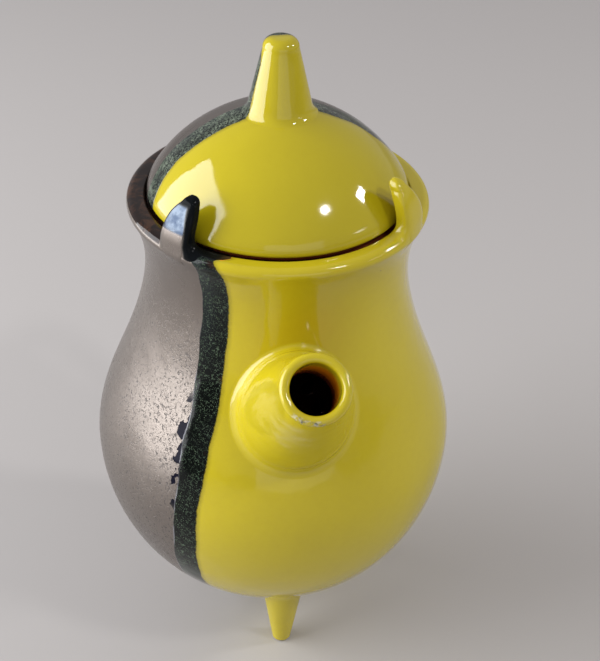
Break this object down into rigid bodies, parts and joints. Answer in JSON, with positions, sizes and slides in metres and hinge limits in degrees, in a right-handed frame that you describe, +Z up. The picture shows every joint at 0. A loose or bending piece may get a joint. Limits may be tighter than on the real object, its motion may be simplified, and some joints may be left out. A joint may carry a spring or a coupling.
{
  "type": "teapot",
  "caption": "Tall pear-shaped glazed ceramic teapot with tripod feet, short conical spout, ear handle, claws on the rim and a lift-off domed lid.",
  "frame": {"origin": "on the pot's axis, at the level of the table that its three feet stand on", "axes": "+Z up along the pot's axis, -Y towards the spout, +Y towards the handle, +X to the right seen from the spout side"},
  "size_m": [0.136, 0.194, 0.2478],
  "materials": {
    "yellow_glaze": "high gloss yellow glaze over a cream body",
    "dark_glaze": "glossy near-black glaze with a crackled metallic lustre",
    "liner_glaze": "glossy dark brown liner glaze"
  },
  "bodies": {
    "pot": {"body_shell": "yellow_glaze", "spout": "yellow_glaze", "handle": "dark_glaze", "prong_left": "dark_glaze", "prong_right": "yellow_glaze", "foot_front": "yellow_glaze", "foot_rear_left": "dark_glaze", "foot_rear_right": "yellow_glaze"},
    "lid": {"lid_dome": "yellow_glaze", "lid_flange": "liner_glaze", "lid_knob": "yellow_glaze"}
  },
  "joints": [
    {"name": "lid_lift", "type": "slide", "parent": "pot", "child": "lid", "axis": [0, 0.309, 0.9511], "range_m": [0, 0.06]}
  ]
}
